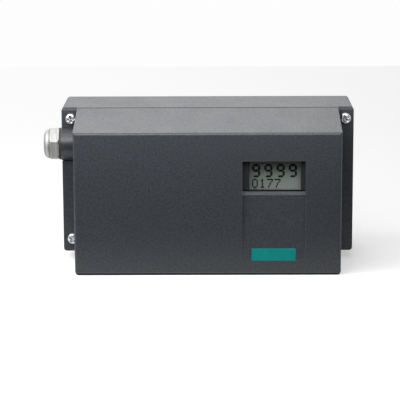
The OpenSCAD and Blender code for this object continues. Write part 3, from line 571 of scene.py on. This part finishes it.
def thin_prisms(outlines, front, back):
    """Flat tiles: each outline of corners in X and Z is carried from a front plane to a back plane."""
    count, corners = outlines.shape[:2]
    planes = [np.insert(outlines, 1, depth, axis=-1) for depth in (front, back)]
    points = np.concatenate(planes, axis=1).reshape(-1, 3)
    start = np.arange(count)[:, None] * 2 * corners
    near = start + np.arange(corners)
    far = near + corners
    sides = np.stack([near, np.roll(near, -1, 1), np.roll(far, -1, 1), far], axis=-1).reshape(-1, 4)
    faces = near[:, ::-1].tolist() + far.tolist() + sides.tolist()
    return points, outward(points, faces)


# Ends of the six bars of a nine, as shares of its width and height from the lower left corner
NINE = (
    ((0, 1), (1, 1)), ((1, 0.5), (1, 1)), ((1, 0), (1, 0.5)),
    ((0, 0), (1, 0)), ((0, 0.5), (0, 1)), ((0, 0.5), (1, 0.5)),
)
# Dots of the small figures, five across and seven down
DOTS = {
    "0": ("01110", "10001", "10001", "10001", "10001", "10001", "01110"),
    "1": ("00100", "01100", "00100", "00100", "00100", "00100", "01110"),
    "7": ("11111", "00001", "00010", "00100", "00100", "01000", "01000"),
}


def row_of_nines(count, left, low, width, height, pitch, stroke):
    """Outlines of the bars of a row of nines: each bar is a long hexagon between its two ends."""
    ends = np.tile(np.array(NINE), (count, 1, 1))
    ends = ends * [width - stroke, height - stroke] + stroke / 2 + [left, low]
    ends[..., 0] += np.repeat(np.arange(count) * pitch, len(NINE))[:, None]
    run = ends[:, 1] - ends[:, 0]
    length = np.linalg.norm(run, axis=1, keepdims=True)
    ahead = run / length
    side = np.stack([-ahead[:, 1], ahead[:, 0]], axis=-1)
    # Corners in turn: towards which end, how far short of that end, and on which side
    tip = 0.06 * stroke
    neck = tip + stroke / 2
    towards, short, beside = np.array([
        (-1, tip, 0), (-1, neck, 1), (1, neck, 1), (1, tip, 0), (1, neck, -1), (-1, neck, -1)]).T
    reach = towards * (length / 2 - short)
    middle = ends.mean(axis=1)
    return (middle[:, None] + ahead[:, None] * reach[..., None]
            + side[:, None] * (beside * stroke / 2)[None, :, None])


def tiles_between(edges):
    """Outlines of upright rectangles, each given by its left, right, low and high edge."""
    left, right, low, high = np.array(edges).T
    corners = ((left, low), (right, low), (right, high), (left, high))
    return np.stack([np.stack(corner, axis=-1) for corner in corners], axis=1)


def figure_dots(text, left, low, width, height, pitch):
    """Outlines of the lit dots of a row of figures: a grid of cells for each figure, a square in each."""
    lit = np.array([[list(row) for row in DOTS[sign]] for sign in text]) == "1"
    figure, row, column = np.nonzero(lit)
    down, across = lit.shape[1:]
    cell = np.array([width / across, height / down])
    corner = np.stack([left + figure * pitch + column * cell[0], low + (down - 1 - row) * cell[1]], axis=-1)
    start, end = corner - 0.06 * cell, corner + 1.04 * cell
    return tiles_between(np.stack([start[:, 0], end[:, 0], start[:, 1], end[:, 1]], axis=-1))


# Cover screws

SCREW_HEAD_R = 3.6 * MM
SCREW_HEAD_H = 2.4 * MM
SCREW_SHANK_R = 1.95 * MM
left_x = screws_low.x + SCREW_HEAD_R
right_x = screws_high.x - SCREW_HEAD_R
upper_z = screws_high.z - SCREW_HEAD_R
lower_z = screws_low.z + SCREW_HEAD_R
screw_places = {
    "cover_screw_upper_left": ((left_x, ear_face, upper_z), math.radians(10)),
    "cover_screw_upper_right": ((right_x, ear_face, upper_z), math.radians(34)),
    "cover_screw_lower_left": ((left_x, ear_face, lower_z), math.radians(58)),
}
for name, (seat, turn) in screw_places.items():
    shape = pan_head_screw(seat, SCREW_HEAD_R, SCREW_HEAD_H, SCREW_SHANK_R, SCREW_SHANK_L, turn)
    screw = make_piece(name, *shape, finishes["steel"], "cover", "steel")
    screw.data.shade_smooth()
    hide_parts("cover_screws")


# Bare plate on the cover's front

PLATE_W = 27.3 * MM
PLATE_H = 7.9 * MM
PLATE_T = 0.75 * MM
PLATE_CENTRE = (40.7 * MM, -36.35 * MM)
PLATE_BEHIND_FRONT = 0.05 * MM
plate_shape = plate_with_soft_rim(PLATE_W, PLATE_H, PLATE_T, PLATE_CENTRE, cad_low.y + PLATE_BEHIND_FRONT)
make_piece("front_plate", *plate_shape, teal_enamel("teal_plate"), "cover")


# Printed border on the shelf round the window

FIGURE_BLACK = (0.0035, 0.0039, 0.0035)
BORDER_GREY = (0.0215, 0.0228, 0.0245)
WINDOW_RIM = 2.4 * MM
BORDER_LEFT = 4.3 * MM
BORDER_RIGHT = 2.8 * MM
BORDER_LOW = 0.9 * MM
SHELF_DEPTH = 4.5 * MM
PRINT_T = 0.06 * MM
PRINT_SUNK = 0.02 * MM
pane_low, pane_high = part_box("display_window")
window_left, window_right = pane_low.x + WINDOW_RIM, pane_high.x - WINDOW_RIM
window_low, window_high = pane_low.z + WINDOW_RIM, pane_high.z - WINDOW_RIM
border_left, border_right = window_left - BORDER_LEFT, window_right + BORDER_RIGHT
side_border = tiles_between([
    (border_left, window_left, window_low, window_high),
    (window_right, border_right, window_low, window_high),
])
foot_border = tiles_between([(border_left, border_right, window_low - BORDER_LOW, window_low)])
figure_ink = printed_ink("display_figures", FIGURE_BLACK, uneven=0.43)
border_ink = printed_ink("window_print", BORDER_GREY, uneven=0.12)
shelf_y = cad_low.y + SHELF_DEPTH
for name, outlines, ink in (
    ("window_border", side_border, border_ink),
    ("window_border_foot", foot_border, figure_ink),
):
    border_shape = thin_prisms(outlines, shelf_y - PRINT_T, shelf_y + PRINT_SUNK)
    make_piece(name, *border_shape, ink, "cover")


# Figures on the display: four of bars, and a row of dots under them

FIGURES_INSET = 4.05 * MM
LARGE_UP = 9.05 * MM
SMALL_UP = 2.55 * MM
lcd_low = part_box("lcd_module")[0]
figures_left = lcd_low.x + FIGURES_INSET
large = row_of_nines(4, figures_left, lcd_low.z + LARGE_UP,
                     width=5.1 * MM, height=8.4 * MM, pitch=7.55 * MM, stroke=1.4 * MM)
small = figure_dots("0177", figures_left, lcd_low.z + SMALL_UP,
                    width=3.6 * MM, height=5.6 * MM, pitch=4.66 * MM)
for name, outlines in (("display_figures", large), ("display_small_figures", small)):
    figure_shape = thin_prisms(outlines, lcd_low.y - PRINT_T, lcd_low.y + PRINT_SUNK)
    make_piece(name, *figure_shape, figure_ink, "base")


# Marks on the keys: a square, a triangle down and a triangle up

MARK_R = 1.7 * MM
MARK_T = 0.05 * MM


def key_mark(corners, turn):
    """Outline of an even figure with that many corners."""
    angle = turn + np.arange(corners) * 2 * np.pi / corners
    return MARK_R * np.stack([np.cos(angle), np.sin(angle)], axis=-1)


for node, body, corners, turn in (
    ("key_mode", "mode_key", 4, math.radians(45)),
    ("key_down", "down_key", 3, math.radians(-90)),
    ("key_up", "up_key", 3, math.radians(90)),
):
    low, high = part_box(node)
    centre = np.array([(low.x + high.x) / 2, (low.z + high.z) / 2])
    outline = (centre + key_mark(corners, turn))[None]
    mark_shape = thin_prisms(outline, low.y - MARK_T, low.y + PRINT_SUNK)
    make_piece(node + "_mark", *mark_shape, finishes["blue_plastic"], body, "blue_plastic")


# Floor and dark card

FLOOR_HALF = 0.9
FLOOR_GLOW = 0.48
FLOOR_SEEN = (0.62, 0.63)
FLOOR_BOUNCE = 0.42


def seen_directly(tree):
    """One for what the camera, a reflection or a look through glass sees, and zero for scattered light."""
    path = add(tree, "ShaderNodeLightPath").outputs
    mirrored = math_of(tree, "MAXIMUM", path["Is Glossy Ray"], path["Is Transmission Ray"])
    return math_of(tree, "MAXIMUM", path["Is Camera Ray"], mirrored)


def floor_finish():
    """White ground: partly glowing for the camera and for reflections, so that little but shadow shows."""
    material, tree = bare_material("white_floor")
    cloud = spread(tree, noise(tree, 0.4, 2.0), 0.3, 0.7)
    shade = blend_colour(tree, cloud, grey(FLOOR_SEEN[0]), grey(FLOOR_SEEN[1]))
    lit = add(tree, "ShaderNodeBsdfDiffuse", {"Color": shade})
    glow = add(tree, "ShaderNodeEmission", {"Color": grey(1.0), "Strength": FLOOR_GLOW})
    shown = add(tree, "ShaderNodeAddShader", {0: lit.outputs[0], 1: glow.outputs[0]})
    plain = add(tree, "ShaderNodeBsdfDiffuse", {"Color": grey(FLOOR_BOUNCE)})
    mixed = add(tree, "ShaderNodeMixShader", {
        0: seen_directly(tree), 1: plain.outputs[0], 2: shown.outputs[0]})
    add(tree, "ShaderNodeOutputMaterial", {"Surface": mixed.outputs[0]})
    return material


def card_finish():
    """Matt black card with faint clouding."""
    material, tree = bare_material("dark_card")
    cloud = spread(tree, noise(tree, 0.3, 2.0), 0.3, 0.7)
    shade = blend_colour(tree, cloud, rgba((0.06, 0.06, 0.065)), rgba((0.07, 0.07, 0.075)))
    matt = add(tree, "ShaderNodeBsdfDiffuse", {"Color": shade})
    add(tree, "ShaderNodeOutputMaterial", {"Surface": matt.outputs[0]})
    return material


def make_sheet(name, points, faces, material):
    """A sheet of the studio from its points and faces."""
    mesh = bpy.data.meshes.new(name)
    mesh.from_pydata(points, [], faces)
    mesh.materials.append(material)
    sheet = bpy.data.objects.new(name, mesh)
    scene.collection.objects.link(sheet)
    return sheet


def make_floor():
    """A wide flat sheet under the housing."""
    points = [(x * FLOOR_HALF, y * FLOOR_HALF, cad_low.z) for x, y in ((-1, -1), (1, -1), (1, 1), (-1, 1))]
    floor = make_sheet("floor", points, [(0, 1, 2, 3)], floor_finish())


def make_dark_card():
    """A dark sheet in front, flat and then rising, and one on the left, that only reflections see."""
    lift = 0.002
    front_half = 0.7
    front_run = ((-0.14, lift), (-0.80, lift), (-0.85, 0.30))
    left_sheet = ((-0.22, 0.0), (-0.75, 0.0), (-0.75, 0.6), (-0.22, 0.6))
    points = [(x, y, cad_low.z + z) for x in (-front_half, front_half) for y, z in front_run]
    points += [(x, y, cad_low.z + lift) for x, y in left_sheet]
    card = make_sheet("dark_card", points, [(0, 1, 4, 3), (1, 2, 5, 4), (6, 9, 8, 7)], card_finish())
    card.visible_camera = False
    card.visible_diffuse = False
    card.visible_shadow = False


make_floor()
make_dark_card()


# Light

def unit(vector):
    """The same direction with length one."""
    return np.array(vector, float) / np.linalg.norm(vector)


def turn_of(right, up, back):
    """The turn of a lamp or camera whose own axes lie along these three directions."""
    return Matrix(np.stack([right, up, back], axis=1).tolist()).to_euler()


def make_world(ambient):
    """White for the camera, reflections and glass, and a plain even light for everything else."""
    world = bpy.data.worlds.new("studio")
    world.use_nodes = True
    scene.world = world
    tree = world.node_tree
    tree.nodes.clear()
    strength = spread(tree, seen_directly(tree), 0, 1, ambient, 1.0)
    sky = add(tree, "ShaderNodeBackground", {"Color": rgba((0.985, 0.985, 0.99)), "Strength": strength})
    add(tree, "ShaderNodeOutputWorld", {"Surface": sky.outputs[0]})


def make_lamp(name, kind, strength, towards, size, place_at=(0, 0, 1)):
    """A lamp at a place, looking along a direction; a sun's size is its angle, a softbox's its two sides."""
    lamp = bpy.data.lights.new(name, kind)
    lamp.energy = strength
    if kind == "SUN":
        lamp.angle = math.radians(size)
    else:
        lamp.shape = "RECTANGLE"
        lamp.size, lamp.size_y = size
    holder = bpy.data.objects.new(name, lamp)
    holder.location = place_at
    back = -unit(towards)
    right = unit(np.cross((0, 0, 1), back))
    holder.rotation_euler = turn_of(right, np.cross(back, right), back)
    holder.visible_camera = False
    scene.collection.objects.link(holder)


make_world(ambient=0.08)
make_lamp("key_light", "SUN", strength=0.75, towards=(0.62, 0.14, -0.77), size=24)
make_lamp("fill_light", "SUN", strength=0.10, towards=(0.35, 0.90, -0.25), size=30)
make_lamp("front_softbox", "AREA", strength=2.6, towards=(0.15, 0.80, -0.60), size=(0.7, 0.50),
          place_at=(-0.22, -0.25, 0.35))
make_lamp("top_strip", "AREA", strength=0.24, towards=(0.05, 0.74, -0.67), size=(0.4, 0.05),
          place_at=(-0.06, -0.145, 0.095))
make_lamp("back_softbox", "AREA", strength=8.2, towards=(0.28, -0.69, -0.62), size=(1.6, 0.8),
          place_at=(-0.45, 1.0, 0.95))


# Camera

CAMERA_PLACE = (2.59 * MM, -1195.53 * MM, 225.73 * MM)
CAMERA_TURN = math.radians(-0.378)
CAMERA_FALL = math.radians(11.629)
CAMERA_ROLL = math.radians(-0.227)
CAMERA_LENS = 165.477
CAMERA_SENSOR = 36.0
CAMERA_FAR = 20.0
forward = np.array([math.sin(CAMERA_TURN) * math.cos(CAMERA_FALL),
                    math.cos(CAMERA_TURN) * math.cos(CAMERA_FALL), -math.sin(CAMERA_FALL)])
level_right = unit(np.cross(forward, (0, 0, 1)))
level_up = np.cross(level_right, forward)
right = level_right * math.cos(CAMERA_ROLL) + level_up * math.sin(CAMERA_ROLL)
up = level_up * math.cos(CAMERA_ROLL) - level_right * math.sin(CAMERA_ROLL)
view = bpy.data.cameras.new("photo_view")
view.sensor_width = CAMERA_SENSOR
view.lens = CAMERA_LENS
view.clip_end = CAMERA_FAR
camera = bpy.data.objects.new("photo_view", view)
camera.location = CAMERA_PLACE
camera.rotation_euler = turn_of(right, up, -forward)
scene.collection.objects.link(camera)
scene.camera = camera
scene.view_settings.view_transform = "Standard"
